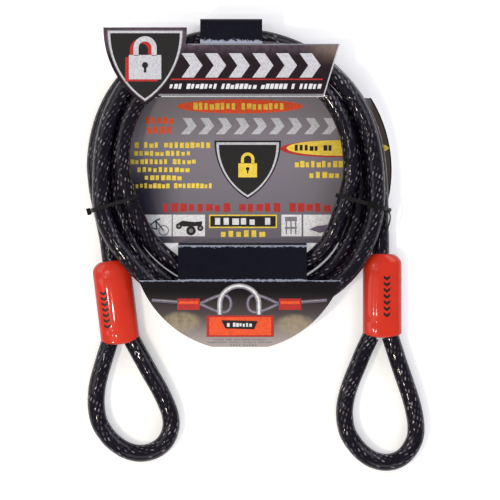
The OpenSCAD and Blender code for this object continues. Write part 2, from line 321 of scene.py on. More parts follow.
def smoked_vinyl():
    """A dark, glossy and opaque jacket, whose colour holds painted glints: highlights painted along the
    rows of wires under it.
    """
    mat, shader = new_material("smoked_vinyl")
    uv = add(mat, "ShaderNodeSeparateXYZ", {0: coords(mat, "UV")}).outputs
    place_in = coords(mat)
    row = maths(mat, "MULTIPLY", maths(mat, "MULTIPLY_ADD", uv[1], -1 / ROW_LAY, uv[0]), ROWS)
    glint = maths(mat, "ADD", maths(mat, "MULTIPLY", uv[1], 1 / GLINT_PITCH),
                  maths(mat, "MULTIPLY", uv[0], STAGGER))

    def crest(value):
        return maths(mat, "PINGPONG", value, 0.5)

    # These dashes are painted highlights in the base colour, not real reflections
    painted_glints = maths(mat, "MULTIPLY", span(mat, crest(row), 0.24, 0.46), span(mat, crest(glint), 0.10, 0.36))
    cell = add(mat, "ShaderNodeCombineXYZ", {0: maths(mat, "FLOOR", row), 1: maths(mat, "FLOOR", glint)})
    chance = add(mat, "ShaderNodeTexWhiteNoise", {0: cell.outputs[0]}, noise_dimensions="2D").outputs[0]
    patch = span(mat, noise(mat, place_in, 90, 3.0), 0.30, 0.62)
    lit = maths(mat, "MULTIPLY", maths(mat, "POWER", chance, 2.2), patch)
    painted_glints = maths(mat, "MULTIPLY", painted_glints, lit)
    base = blend_colour(mat, noise(mat, place_in, 70, 2.0), (0.0010, 0.0012, 0.0060),
                        (0.0065, 0.0030, 0.0085))
    feed(mat, shader, {
        "Base Color": blend_colour(mat, painted_glints, base, (0.36, 0.325, 0.36)),
        "Roughness": maths(mat, "MULTIPLY_ADD", noise(mat, place_in, 300), 0.12, 0.34),
        "Normal": bump(mat, crest(row), 0.0004),
        "Specular IOR Level": 0.05,
        "Coat Weight": 0.9,
        "Coat Roughness": 0.06,
        "Coat IOR": 1.28,
        "Coat Normal": bump(mat, noise(mat, place_in, 55, 2.0), 0.0012)})
    return mat


# Wires round the rope, and the length in which each one winds once round it, in metres
WIRES = 24
WIRE_LAY = 0.02


def wire_rope():
    """Bright galvanised strands."""
    mat, shader = new_material("wire_rope")
    uv = add(mat, "ShaderNodeSeparateXYZ", {0: coords(mat, "UV")}).outputs
    turn = maths(mat, "MULTIPLY_ADD", uv[1], -1 / WIRE_LAY, uv[0])
    wires = maths(mat, "SINE", maths(mat, "MULTIPLY", turn, 2 * math.pi * WIRES))
    grime = noise(mat, coords(mat), 200, 3.0)
    feed(mat, shader, {
        "Base Color": ramp(mat, grime, [(0.3, (0.38, 0.38, 0.40)), (0.7, (0.70, 0.70, 0.72))]),
        "Metallic": 1.0,
        "Roughness": maths(mat, "MULTIPLY_ADD", grime, 0.2, 0.25),
        "Normal": bump(mat, wires, 0.0003)})
    return mat


def moulded(name, dark, light, roughness, grain, coat=0.0, flank_shade=None):
    """Moulded plastic with a mottled colour and fine grain.

    Where it turns away from straight up, its colour goes over to the flank colour, a painted shade.
    """
    mat, shader = new_material(name)
    place_in = coords(mat)
    mottle = noise(mat, place_in, 90, 3.0)
    fine = noise(mat, place_in, grain, 2.0)
    colour = blend_colour(mat, mottle, dark, light)
    if flank_shade:
        facing = add(mat, "ShaderNodeSeparateXYZ", {
            0: add(mat, "ShaderNodeNewGeometry", {}).outputs["Normal"]}).outputs[2]
        colour = blend_colour(mat, span(mat, facing, 0.80, 0.15), colour, flank_shade)
    feed(mat, shader, {
        "Base Color": colour,
        "Roughness": maths(mat, "MULTIPLY_ADD", fine, 0.12, roughness - 0.06),
        "Normal": bump(mat, fine, 0.00003),
        "Specular IOR Level": 0.12,
        "Coat Weight": coat,
        "Coat Roughness": 0.05})
    return mat


def ferrule_metal():
    mat, shader = new_material("ferrule_metal")
    place_in = coords(mat)
    stretched = add(mat, "ShaderNodeMapping", {0: place_in, "Scale": (900, 60, 900)}).outputs[0]
    streaks = noise(mat, stretched, 1.0)
    feed(mat, shader, {
        "Base Color": ramp(mat, streaks, [(0.3, (0.55, 0.55, 0.57)), (0.7, (0.78, 0.78, 0.80))]),
        "Metallic": 1.0,
        "Roughness": maths(mat, "MULTIPLY_ADD", streaks, 0.2, 0.25),
        "Normal": bump(mat, streaks, 0.0001)})
    return mat


PULP = (0.60, 0.58, 0.55)
CRACK = (0.30, 0.33, 0.42)


def printed_card(name, colour_of, folds=(), flat=True, folds_from=-100):
    """Varnished board, printed on one side and worn pale along its folds: [y, z, width].

    A flat sheet's cut edges show its pulp too, and folds are worn only past the x of folds_from.
    """
    mat, shader = new_material(name)
    place_in = coords(mat)
    xyz = add(mat, "ShaderNodeSeparateXYZ", {0: place_in}).outputs
    up = add(mat, "ShaderNodeSeparateXYZ",
             {0: add(mat, "ShaderNodeNewGeometry", {}).outputs["Normal"]}).outputs[2]
    fibre = noise(mat, place_in, 900, 3.0)
    colour = blend_colour(mat, maths(mat, "MULTIPLY", fibre, 0.012), colour_of(mat, xyz), PULP)
    flecks = maths(mat, "MULTIPLY", noise(mat, place_in, 380, 5.0, 0.8),
                   maths(mat, "GREATER_THAN", xyz[0], folds_from * MM))
    for y, z, width in folds:
        dy = maths(mat, "SUBTRACT", xyz[1], y * MM)
        dz = maths(mat, "SUBTRACT", xyz[2], z * MM)
        away = maths(mat, "SQRT", maths(mat, "MULTIPLY_ADD", dy, dy, maths(mat, "MULTIPLY", dz, dz)))
        torn = maths(mat, "MULTIPLY", maths(mat, "POWER", flecks, 2.0), 4 * width * MM)
        colour = blend_colour(mat, span(mat, maths(mat, "SUBTRACT", torn, away), 0.0, 0.0006), colour,
                              CRACK)
    back = maths(mat, "LESS_THAN", up, -0.9)
    if flat:
        back = maths(mat, "MAXIMUM", back, maths(mat, "LESS_THAN", maths(mat, "ABSOLUTE", up), 0.3))
    feed(mat, shader, {
        "Base Color": blend_colour(mat, back, colour, PULP),
        "Roughness": maths(mat, "MULTIPLY_ADD", fibre, 0.15, 0.28),
        "Normal": bump(mat, fibre, 0.00004),
        "Specular IOR Level": 0.07})
    return mat


def ink(name, colour, second=None):
    """Printed ink: a fine dot screen between two tints."""
    mat, shader = new_material(name)
    place_in = coords(mat)
    dots = noise(mat, place_in, 700, 2.0)
    feed(mat, shader, {
        "Base Color": blend_colour(mat, span(mat, dots, 0.35, 0.65), colour,
                                   second or tuple(c * 0.8 for c in colour)),
        "Roughness": maths(mat, "MULTIPLY_ADD", dots, 0.15, 0.38),
        "Specular IOR Level": 0.3})
    return mat


VINYL = smoked_vinyl()
ROPE = wire_rope()
# The sleeves' purple-grey flank colour is a painted shade, not a second plastic
SLEEVE_RED = moulded("sleeve_red", (0.56, 0.020, 0.006), (0.66, 0.034, 0.012), 0.34, 1200, 0.45,
                     (0.24, 0.060, 0.095))
TIE_BLACK = moulded("tie_black", (0.004, 0.004, 0.005), (0.010, 0.010, 0.011), 0.32, 1500)
FERRULE = ferrule_metal()

# ---- Cable ---------------------------------------------------------------------------------

coil_jacket = tube("coil_cable", coil_route, CABLE_R, VINYL)
place(coil_jacket, "coil")
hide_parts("coil_jacket")
tails, eyes = [], []
for side, word in enumerate(SIDES):
    body = word + "_end"
    tail = tube(word + "_tail", tail_routes[side], CABLE_R, VINYL)
    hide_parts(word + "_tail_jacket")
    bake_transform(tail)
    tails.append(tail)
    eye = tube(word + "_eye", eye_routes[side], CABLE_R, VINYL)
    place(eye, body)
    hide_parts(word + "_eye_jacket")
    eyes.append(eye)


# ---- Wire rope under the jacket ------------------------------------------------------------

ROPE_STRANDS = 6
ROPE_LAY = 60
ROPE_GROOVE = 0.9
ROPE_STEP = 2.5
FERRULE_MOUTH = 14
FERRULE_L = 30
BORE_X = ROPE_R + 0.15
NECK_L = 5
DEAD_END = 3


def twisted(name, path, material, sides=36):
    """A rope of twisted strands, drawn as one lobed rod that turns along its path."""
    rod = tube(name, path, ROPE_R, material, sides)
    along = 0.0
    for i, (p, across, up) in enumerate(frames(path)):
        along += (path[i] - path[max(i - 1, 0)]).length
        for k in range(sides):
            angle = 2 * math.pi * k / sides
            lobe = abs(math.cos(ROPE_STRANDS / 2 * (angle - 2 * math.pi * along / ROPE_LAY)))
            r = ROPE_R - ROPE_GROOVE * (1 - lobe) ** 2
            rod.data.vertices[i * sides + k].co = MM * (
                p + r * (math.cos(angle) * across + math.sin(angle) * up))
    return rod


def rope_route(side):
    """From the tie through the tail and the ferrule, round the eye, and back to the dead end."""
    start = TAIL[side][-1][0]
    top, bottom = NECK_L - SLEEVE_L, -FERRULE_MOUTH - FERRULE_L
    into = [from_end(side, mix(start, -BORE_X, u * u * (3 - 2 * u)), mix(top, bottom, u), SLEEVE_Z)
            for u in (0, 0.25, 0.5, 0.75, 1)]
    return (tail_points(side) + into + [from_end(side, -BORE_X, -FERRULE_MOUTH, SLEEVE_Z)]
            + [eye_point(side, *p) for p in EYE[side]]
            + [from_end(side, BORE_X, -FERRULE_MOUTH, SLEEVE_Z),
               from_end(side, BORE_X, bottom - DEAD_END, SLEEVE_Z)])


coil_rope = twisted("coil_strands", coil_route[::2] + [coil_route[-1]], ROPE)
place(coil_rope, "coil")
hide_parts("coil_rope")
for side, word in enumerate(SIDES):
    rope = twisted(word + "_strands", smooth(rope_route(side), ROPE_STEP), ROPE)
    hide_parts(word + "_rope")
    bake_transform(rope)
    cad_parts[word + "_ferrule"].data.materials.clear()
    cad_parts[word + "_ferrule"].data.materials.append(FERRULE)

# ---- Sleeves -------------------------------------------------------------------------------

SLEEVE_W = 29
SLEEVE_T = 17.8
SHOULDER = 7.2
NECK_T = 6.9
RIM = 1.8
# The mouth bows back by ARCH at its corners, and this fades out over ARCH_REACH
ARCH = 2.6
ARCH_REACH = 14
CUT_BACK = 0.3
CHAMFER = 1.7
SQUARENESS = 2.3
# The sleeve is thickest at CROWN_AT and thins by CROWN towards its neck, and less to its mouth
CROWN = 0.8
CROWN_AT = -40
CROWN_TO_MOUTH = 0.4
# Shallow dents that the press left: [along, depth]
PRESSES = [(-51, 0.35), (-12, 0.30)]
PRESS_W = 2.5
# Each sleeve's column of arrow stripes: its place across, and its two ends
PRINT_AT = [(-8.1, -41.5, -12.5), (3.2, -47, -15)]
STRIPES = 7
STRIPE_W = 4.8
PRINT_LIFT = 0.03
PRINT_T = 0.06


def rounding(s, r, fullness=2.0):
    """How far an edge of radius r stands in, s from its end: fullness 2 is round, 1 a chamfer."""
    return r - max(r ** fullness - (r - min(s, r)) ** fullness, 0) ** (1 / fullness)


def sleeve_half(along):
    """Half the sleeve's width and thickness at a distance along it; its mouth is at 0."""
    from_neck, from_mouth = along + SLEEVE_L, -along
    neck = rounding(max(from_neck, 0), SHOULDER, CHAMFER) / SHOULDER
    rim = rounding(from_mouth, RIM)
    dent = sum(depth * math.exp(-((along - at) / PRESS_W) ** 2) for at, depth in PRESSES)
    dent += CROWN * (along / CROWN_AT - 1) ** 2 * (1 if along < CROWN_AT else CROWN_TO_MOUTH)
    return mix(SLEEVE_W / 2, NECK_T, neck) - rim, mix(SLEEVE_T / 2 - dent, NECK_T, neck) - rim


def sleeve_surface(side, along, angle):
    """A point of the sleeve: a rounded-off rectangle in section, with an arched mouth."""
    half_w, half_t = sleeve_half(along)
    c, s = math.cos(angle), math.sin(angle)
    x = math.copysign(abs(c) ** (2 / SQUARENESS), c) * half_w
    z = math.copysign(abs(s) ** (2 / SQUARENESS), s) * half_t
    nearness = max(0.0, 1 + along / ARCH_REACH) ** 2
    bow = CUT_BACK + ARCH * (x / (SLEEVE_W / 2)) ** 2
    return from_end(side, x, along - bow * nearness, SLEEVE_Z + z)


def spaced(start, stop, count):
    return [mix(start, stop, i / (count - 1)) for i in range(count)]


def sleeve(side, word, segments=56):
    stations = ([-SLEEVE_L + SHOULDER * (1 - math.cos(a)) for a in spaced(0, math.pi / 2, 9)]
                + spaced(-SLEEVE_L + SHOULDER, -RIM, 40)[1:-1]
                + [-RIM * (1 - math.sin(a)) for a in spaced(0, math.pi / 2, 6)])
    verts = [sleeve_surface(side, a, 2 * math.pi * k / segments)
             for a in stations for k in range(segments)]
    faces = [(i * segments + k, i * segments + (k + 1) % segments,
              (i + 1) * segments + (k + 1) % segments, (i + 1) * segments + k)
             for i in range(len(stations) - 1) for k in range(segments)]
    last = (len(stations) - 1) * segments
    faces += [tuple(range(segments))[::-1], tuple(range(last, last + segments))]
    piece = new_piece(word + "_sleeve_skin", verts, faces, SLEEVE_RED)
    place(piece, word + "_end")
    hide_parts(word + "_sleeve")


def chevron(x, y, w, h, thick, lean=0.0):
    """An arrow stripe that points to +x, as an outline of six points."""
    points = [(0, h / 2), (thick, h / 2), (w, 0), (thick, -h / 2), (0, -h / 2), (w - thick, 0)]
    return [(x + px + lean * py, y + py) for px, py in points]


def sleeve_print(side, word):
    """A column of black arrow stripes, which wraps onto the sleeve's curved face."""
    across, first, last = PRINT_AT[side]
    pitch = (last - first) / STRIPES
    verts, faces = [], []
    for i in range(STRIPES):
        outline = chevron(first + i * pitch, 0, 0.85 * pitch, STRIPE_W, 0.48 * pitch)
        faces.append([len(verts) + k for k in range(len(outline))])
        verts += [(across + py, px) for px, py in outline]
    mesh = bpy.data.meshes.new(word + "_sleeve_print")
    mesh.from_pydata([(x, a, 0) for x, a in verts], [], faces)
    shape = bmesh.new()
    shape.from_mesh(mesh)
    bmesh.ops.triangulate(shape, faces=shape.faces)
    bmesh.ops.subdivide_edges(shape, edges=shape.edges, cuts=3, use_grid_fill=True)
    for v in shape.verts:
        x, along = v.co.x, v.co.y
        half_w, half_t = sleeve_half(along)
        rise = max(0.0, 1 - (abs(x) / half_w) ** SQUARENESS) ** (1 / SQUARENESS)
        v.co = from_end(side, x, along, SLEEVE_Z + half_t * rise + PRINT_LIFT) * MM
    shape.to_mesh(mesh)
    shape.free()
    mesh.materials.append(PRINT_BLACK)
    piece = bpy.data.objects.new(mesh.name, mesh)
    bpy.context.scene.collection.objects.link(piece)
    thicken = piece.modifiers.new("thicken", "SOLIDIFY")
    thicken.thickness = PRINT_T * MM
    place(piece, word + "_end")


PRINT_BLACK = ink("print_black", (0.012, 0.008, 0.008))
for side, word in enumerate(SIDES):
    sleeve(side, word)
    sleeve_print(side, word)

# ---- Ties ----------------------------------------------------------------------------------

TIE_SNUG = CABLE_R + 2.5 * GAP
# The band's section: [outwards, along the cables], with rounded outer corners
TIE_SECTION = [(0, -1.4), (0.8, -1.5), (1.1, -1.1), (1.1, 1.1), (0.8, 1.5), (0, 1.4)]
TOOTH = 0.14
HEAD_L = 5
HEAD_T = 3
HEAD_OFF = 1.2
# The right head sits on the top pass, this far in from its middle
HEAD_IN = 4
TIE_TAIL = [(108.5, -29.6, 24), (111.5, -31, 21.5), (114.2, -36, 19), (112.8, -44, 17.6),
            (108.4, -50.5, 17)]
TIE_TAIL_SECTION = [(-0.5, -1.2), (0.5, -1.2), (0.5, 1.2), (-0.5, 1.2)]


def tie_point(side, back):
    return hinge(side) - back * tail_direction(side)


def hull(points):
    """Convex hull of 2-D points, anticlockwise."""
    points = sorted(set((round(x, 5), round(y, 5)) for x, y in points))

    def half(source):
        chain = []
        for p in source:
            while len(chain) > 1 and ((chain[-1][0] - chain[-2][0]) * (p[1] - chain[-2][1])
                                      - (chain[-1][1] - chain[-2][1]) * (p[0] - chain[-2][0])) <= 0:
                chain.pop()
            chain.append(p)
        return chain[:-1]

    return half(points) + half(points[::-1])


def evenly(loop, count):
    """Points at equal steps round a closed 2-D loop."""
    loop = loop + loop[:1]
    steps = [math.dist(a, b) for a, b in zip(loop, loop[1:])]
    out, i, done = [], 0, 0.0
    for k in range(count):
        want = sum(steps) * k / count
        while done + steps[i] < want:
            done += steps[i]
            i += 1
        u = (want - done) / steps[i]
        out.append((mix(loop[i][0], loop[i + 1][0], u), mix(loop[i][1], loop[i + 1][1], u)))
    return out


def tie(side, word, count=160):
    """A band drawn tight round the tail and the coil's passes, and its head."""
    middle = tie_point(side, TIE_BACK)
    angle = math.atan2(middle.y, middle.x)
    out = Vector((math.cos(angle), math.sin(angle), 0))
    beside = Vector((-out.y, out.x, 0))
    s = (math.pi - angle) / (2 * math.pi)
    faces_of_tie = [tie_point(side, TIE_BACK + d) for d in (-TIE_W / 2, TIE_W / 2)]
    places = [(p.x * out.x + p.y * out.y, LOW_Z) for p in faces_of_tie]
    places += [(r, LOW_Z + z) for r, z in (coil_at(s + k) for k in range(3))]
    circle = [(TIE_SNUG * math.cos(a), TIE_SNUG * math.sin(a)) for a in spaced(0, 2 * math.pi, 49)]
    loop = evenly(hull([(x + cx, z + cz) for x, z in places for cx, cz in circle]), count)
    verts, faces = [], []
    for i, (x, z) in enumerate(loop):
        (ax, az), (bx, bz) = loop[i - 1], loop[(i + 1) % count]
        size = math.hypot(bx - ax, bz - az)
        normal = ((bz - az) / size, -(bx - ax) / size)
        tooth = 0.0 if i % 2 else -TOOTH
        for deep, wide in TIE_SECTION:
            d = deep + (tooth if deep > 1 else 0)
            verts.append(out * (x + normal[0] * d) + beside * wide + Vector((0, 0, z + normal[1] * d)))
    n = len(TIE_SECTION)
    for i in range(count):
        for k in range(n):
            j, m = (i + 1) % count, (k + 1) % n
            faces.append((i * n + k, j * n + k, j * n + m, i * n + m))
    band = new_piece(word + "_tie_band", verts, faces, TIE_BLACK, shade=False)
    place(band, "coil")
    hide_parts(word + "_tie")
    reach = TIE_SNUG + TIE_T + HEAD_OFF
    if side == LEFT:
        centre, size = (max(places[0][0], places[1][0]) + reach, LOW_Z + 1), (HEAD_T, HEAD_L)
    else:
        centre, size = (places[-1][0] - HEAD_IN, places[-1][1] + reach), (HEAD_L, HEAD_T)
    head = block(word + "_tie_head", (size[0], TIE_W + 2, size[1]), TIE_BLACK)
    head.matrix_world = frame_matrix(out, beside, out * centre[0] + Vector((0, 0, centre[1])))
    place(head, "coil")


def loose_tail():
    """The right tie's cut end, which bows out beside the cables and over the tail."""
    route = smooth([Vector(p) for p in TIE_TAIL], 1.0)
    verts, faces = [], []
    for p, across, _ in frames(route):
        verts += [p + a * across + Vector((0, 0, h)) for a, h in TIE_TAIL_SECTION]
    for i in range(len(route) - 1):
        faces += [(4 * i + k, 4 * i + 4 + k, 4 * i + 4 + (k + 1) % 4, 4 * i + (k + 1) % 4)
                  for k in range(4)]
    last = 4 * (len(route) - 1)
    faces += [(3, 2, 1, 0), (last, last + 1, last + 2, last + 3)]
    place(new_piece("right_tie_tail", verts, faces, TIE_BLACK, shade=False), "coil")


def frame_matrix(x_axis, y_axis, at):
    z_axis = x_axis.cross(y_axis)
    return Matrix([(*row, at[i] * MM) for i, row in enumerate(zip(x_axis, y_axis, z_axis))]
                  + [(0, 0, 0, 1)])


def block(name, size, material):
    """A small moulded block with rounded edges and a slot through its top."""
    shape = bmesh.new()
    bmesh.ops.create_cube(shape, size=1)
    bmesh.ops.scale(shape, vec=Vector(size) * MM, verts=shape.verts)
    bmesh.ops.bevel(shape, geom=shape.edges[:], offset=0.5 * MM, segments=3, profile=0.6,
                    affect="EDGES")
    top = max(shape.faces, key=lambda f: f.calc_center_median().z)
    bmesh.ops.inset_region(shape, faces=[top], thickness=0.6 * MM)
    bmesh.ops.translate(shape, verts=top.verts, vec=(0, 0, -0.8 * MM))
    mesh = bpy.data.meshes.new(name)
    shape.to_mesh(mesh)
    shape.free()
    mesh.materials.append(material)
    piece = bpy.data.objects.new(name, mesh)
    bpy.context.scene.collection.objects.link(piece)
    return piece


for side, word in enumerate(SIDES):
    tie(side, word)
loose_tail()

# ---- Card ----------------------------------------------------------------------------------

CARD_T = 0.5
HEADER_Z = 35.6
FLAP_Z = 28.6
# The arc of the panel's dark edge line
PANEL_ARC = (13.7, -1.5)
PANEL_R = 102.3
INK_T = 0.03
INK_SINK = 0.01


class Print:
    """Inks laid on one face of the card, at height top, as thin layers in one piece."""

    def __init__(self, word, body, slot, top):
        self.word, self.body, self.slot, self.top = word, body, slot, top
        self.verts, self.faces, self.tints, self.inks = [], [], [], []

    def lay(self, tint, outline, level=0):
        if tint not in self.inks:
            self.inks.append(tint)
        turn = sum(ax * by - bx * ay for (ax, ay), (bx, by) in zip(outline, outline[1:] + outline[:1]))
        outline = outline if turn > 0 else outline[::-1]
        n, first = len(outline), len(self.verts)
        lift = INK_T * (level + 1)
        self.verts += [(x, y, self.top - INK_SINK) for x, y in outline]
        self.verts += [(x, y, self.top + lift) for x, y in outline]
        self.faces.append([first + n + k for k in range(n)])
        self.faces.append([first + k for k in reversed(range(n))])
        for k in range(n):
            m = (k + 1) % n
            self.faces.append([first + k, first + m, first + n + m, first + n + k])
        self.tints += [self.inks.index(tint)] * (n + 2)

    def finish(self):
        piece = new_piece(self.word + "_print", self.verts, self.faces, self.inks[0], shade=False)
        for tint in self.inks[1:]:
            piece.data.materials.append(tint)
        piece.data.polygons.foreach_set("material_index", self.tints)
        place(piece, self.body)


def rect(x0, y0, x1, y1):
    return [(x0, y0), (x1, y0), (x1, y1), (x0, y1)]


def ellipse(x, y, a, b, count=48):
    return [(x + a * math.cos(2 * math.pi * k / count), y + b * math.sin(2 * math.pi * k / count))
            for k in range(count)]


def arch(x, y, r_outer, r_inner, leg, stretch=1.0, count=20):
    """An upside-down U: a half ring on two straight legs."""
    turn = [math.pi * k / count for k in range(count + 1)]
    outer = [(x + r_outer * math.cos(a), y + stretch * r_outer * math.sin(a)) for a in turn]
    inner = [(x + r_inner * math.cos(a), y + stretch * r_inner * math.sin(a)) for a in reversed(turn)]
    return ([(x + r_outer, y - leg)] + outer + [(x - r_outer, y - leg), (x - r_inner, y - leg)]
            + inner + [(x + r_inner, y - leg)])


def shield(x, top, w, h, count=14):
    """A shield with a straight top and two arcs that meet in a point."""
    r = (h * h + w * w / 4) / w
    depths = [h * k / count for k in range(count + 1)]
    half = [math.sqrt(r * r - d * d) - r + w / 2 for d in depths]
    return ([(x + a, top - d) for a, d in zip(half, depths)]
            + [(x - a, top - d) for a, d in zip(half[-2::-1], depths[-2::-1])])


def ribbon(path, width):
    """The outline of a line of some width drawn along an open path."""
    left, right = [], []
    for i, (x, y) in enumerate(path):
        (x0, y0), (x1, y1) = path[max(i - 1, 0)], path[min(i + 1, len(path) - 1)]
        size = math.hypot(x1 - x0, y1 - y0)
        nx, ny = (y0 - y1) / size * width / 2, (x1 - x0) / size * width / 2
        left.append((x + nx, y + ny))
        right.append((x - nx, y - ny))
    return left + right[::-1]


def stroke(a, b, width):
    return ribbon([a, b], width)


def padlock(face, x, y, w, tint, level, shift=(0, 0)):
    """A plain padlock pictogram: a square body under a shackle."""
    x, y = x + shift[0], y + shift[1]
    face.lay(tint, rect(x - w / 2, y - w * 0.75, x + w / 2, y), level)
    face.lay(tint, arch(x, y + w * 0.22, w * 0.36, w * 0.20, w * 0.24), level)


def keyhole(face, x, y, size, tint, level):
    face.lay(tint, ellipse(x, y, size / 2, size / 2, 20), level)
    face.lay(tint, rect(x - size * 0.2, y - size * 1.2, x + size * 0.2, y - size * 0.45), level)


def greeked(face, tint, x0, x1, y, h, words, level=0, lean=0.0, *, seed):
    """A line of small bars in groups, which stands for a line of print without any letters."""
    draw = random.Random(seed)
    cells = sum(words) + 0.8 * (len(words) - 1)
    pitch = (x1 - x0) / cells
    x = x0
    for word in words:
        for _ in range(word):
            tall = h * draw.choice([0.76, 0.92, 1.0])
            low = y - h / 2 + (h - tall) * draw.choice([0, 0, 0.5])
            bar = rect(x + 0.08 * pitch, low, x + draw.choice([0.68, 0.86]) * pitch, low + tall)
            face.lay(tint, [(px + lean * (py - y), py) for px, py in bar], level)
            x += pitch
        x += 0.8 * pitch


def dress(node, material):
    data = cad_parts[node].data
    data.materials.clear()
    data.materials.append(material)


def panel_colour(mat, xyz):
    # Painted shade: the panel darkens towards the bottom, and much more towards its left
    up = span(mat, xyz[1], -0.060, 0.055)
    colour = blend_colour(mat, up, (0.150, 0.135, 0.160), (0.235, 0.215, 0.245))
    left = maths(mat, "MULTIPLY", span(mat, xyz[0], -0.038, -0.072), span(mat, xyz[1], 0.020, -0.020))
    colour = blend_colour(mat, left, colour, (0.020, 0.018, 0.034))
    colour = blend_colour(mat, span(mat, xyz[0], 0.096, 0.103), colour, (0.090, 0.066, 0.056))
    dx, dy = (maths(mat, "SUBTRACT", xyz[i], PANEL_ARC[i] * MM) for i in (0, 1))
    away = maths(mat, "SQRT", maths(mat, "MULTIPLY_ADD", dx, dx, maths(mat, "MULTIPLY", dy, dy)))
    return blend_colour(mat, span(mat, away, (PANEL_R - 1.4) * MM, (PANEL_R - 0.7) * MM), colour,
                        (0.018, 0.012, 0.012))


def header_colour(mat, xyz):
    """Brown-black, with a pale painted sheen towards the fold and a painted highlight streak in its
    right corner.
    """
    place_in = coords(mat)
    mottle = noise(mat, place_in, 250, 3.0)
    colour = blend_colour(mat, mottle, (0.010, 0.005, 0.008), (0.022, 0.013, 0.018))
    painted_sheen = maths(mat, "MULTIPLY", span(mat, xyz[1], 0.080, 0.0915), mottle)
    colour = blend_colour(mat, painted_sheen, colour, (0.14, 0.10, 0.13))
    painted_streak = maths(mat, "MULTIPLY", span(mat, xyz[0], 0.044, 0.072), span(mat, xyz[1], 0.074, 0.088))
    return blend_colour(mat, maths(mat, "MULTIPLY", painted_streak, noise(mat, place_in, 90, 2.0)), colour,
                        (0.30, 0.22, 0.17))


def band_colour(mat, _):
    """The same blue-black all over, so it needs no coordinates."""
    return blend_colour(mat, noise(mat, coords(mat), 250, 3.0), (0.0015, 0.0015, 0.0050),
                        (0.0045, 0.0045, 0.0120))


def flap_colour(mat, xyz):
    down = maths(mat, "MULTIPLY", xyz[1], -1000.0)
    colour = blend_colour(mat, span(mat, down, 90, 116), (0.004, 0.003, 0.004), (0.085, 0.068, 0.070))
    colour = blend_colour(mat, span(mat, down, 108, 134), colour, (0.38, 0.33, 0.31))
    # Two warm pale patches low on the flap are painted highlights
    for x, y in ((-41, -115), (43, -117)):
        dx = maths(mat, "MULTIPLY", maths(mat, "SUBTRACT", xyz[0], x * MM), 60.0)
        dy = maths(mat, "MULTIPLY", maths(mat, "SUBTRACT", xyz[1], y * MM), 110.0)
        away = maths(mat, "ADD", maths(mat, "MULTIPLY", dx, dx), maths(mat, "MULTIPLY", dy, dy))
        painted_glow = maths(mat, "MULTIPLY", span(mat, away, 1.0, 0.2), noise(mat, coords(mat), 300, 4.0))
        colour = blend_colour(mat, painted_glow, colour, (0.42, 0.34, 0.20))
    return colour


# Worn folds: [y, z, width of the wear]
STRAP_FOLDS = [(92, 36, 2.3)]
BAND_FOLDS = [(-57.8, 17.8, 1.7), (-84, 29, 0.9)]
HEADER_FOLDS = [(91.6, 36, 1.1)]
FLAP_FOLDS = [(-84.2, 29, 0.8)]
# The header's fold shows wear only past this x, so that its badge stays clear
BADGE_EDGE = -36

dress("card_panel", printed_card("card_grey", panel_colour))
dress("card_strap", printed_card("card_strap_black", band_colour, STRAP_FOLDS, flat=False))
dress("card_band", printed_card("card_band_black", band_colour, BAND_FOLDS, flat=False))
dress("header_flap", printed_card("card_header_black", header_colour, HEADER_FOLDS,
                                  folds_from=BADGE_EDGE))
dress("lower_flap", printed_card("card_flap_print", flap_colour, FLAP_FOLDS))

SILVER = ink("ink_silver", (0.60, 0.60, 0.64))
GREY = ink("ink_grey", (0.22, 0.21, 0.23))
WHITE = ink("ink_white", (0.80, 0.80, 0.82))
BLACK = ink("ink_black", (0.008, 0.006, 0.007))
RED = ink("ink_red", (0.48, 0.022, 0.018))
ORANGE = ink("ink_orange", (0.85, 0.090, 0.020))
YELLOW = ink("ink_yellow", (0.90, 0.66, 0.07))
STEEL = ink("ink_steel", (0.34, 0.33, 0.34), (0.22, 0.21, 0.22))
LILAC = ink("ink_lilac", (0.14, 0.115, 0.17))


def header_print():
    """A shield with a padlock, arrow stripes, a red rule and a line of small print."""
    face = Print("header", "header", "card_black", HEADER_Z + CARD_T)
    face.lay(GREY, shield(-68, 101.4, 56.4, 53))
    face.lay(SILVER, shield(-68, 100.8, 55, 51.6), 1)
    face.lay(BLACK, shield(-68, 99.2, 51.6, 48.6), 2)
    padlock(face, -68, 83, 24, RED, 3, (-2.6, -1.6))
    padlock(face, -68, 83, 24, SILVER, 4)
    keyhole(face, -68, 75.5, 4.6, BLACK, 5)
    for i in range(6):
        face.lay(SILVER, chevron(-41 + 17.5 * i, 75.3, 15.6, 18, 9.2))
    face.lay(RED, rect(-49, 64.5, 63.5, 65.5))
    greeked(face, WHITE, -50, 63, 59.8, 3.8, [3, 7, 8, 6, 1, 5], lean=0.25, seed=3)
    face.lay(GREY, rect(-58, 52.6, 64.4, 54.2))
    face.lay(SILVER, stroke((76.0, 91.2), (64.1, 51.9), 0.9), 1)
    face.lay(SILVER, rect(-56, 51.9, 64.1, 52.6), 1)
    # A faint grey line along the top edge is a painted highlight
    face.lay(GREY, rect(-34, 90.4, 75.6, 91.1))
    face.finish()


def bicycle(face):
    rear, front, saddle, crank = (-66.5, -44), (-55, -46.8), (-61, -39.5), (-60, -46)
    for (x, y), r in ((rear, 3.2), (front, 4.0)):
        face.lay(GREY, ellipse(x, y, r, r, 24), 1)
        face.lay(WHITE, ellipse(x, y, r - 0.8, r - 0.8, 24), 2)
    for a, b in ((rear, saddle), (saddle, front), (rear, crank), (crank, saddle),
                 (saddle, (-57.5, -38))):
        face.lay(BLACK, stroke(a, b, 0.9), 3)


def buggy(face):
    for x, y, r in ((-43.5, -43.6, 2.3), (-34.5, -47, 3.6), (-27.5, -45, 2.3)):
        face.lay(BLACK, ellipse(x, y, r, r, 20), 1)
        face.lay(GREY, ellipse(x, y, r * 0.45, r * 0.45, 16), 2)
    face.lay(BLACK, [(-45, -42), (-41, -39.5), (-32, -40.5), (-26, -40), (-26.5, -43.5),
                     (-40, -44)], 3)


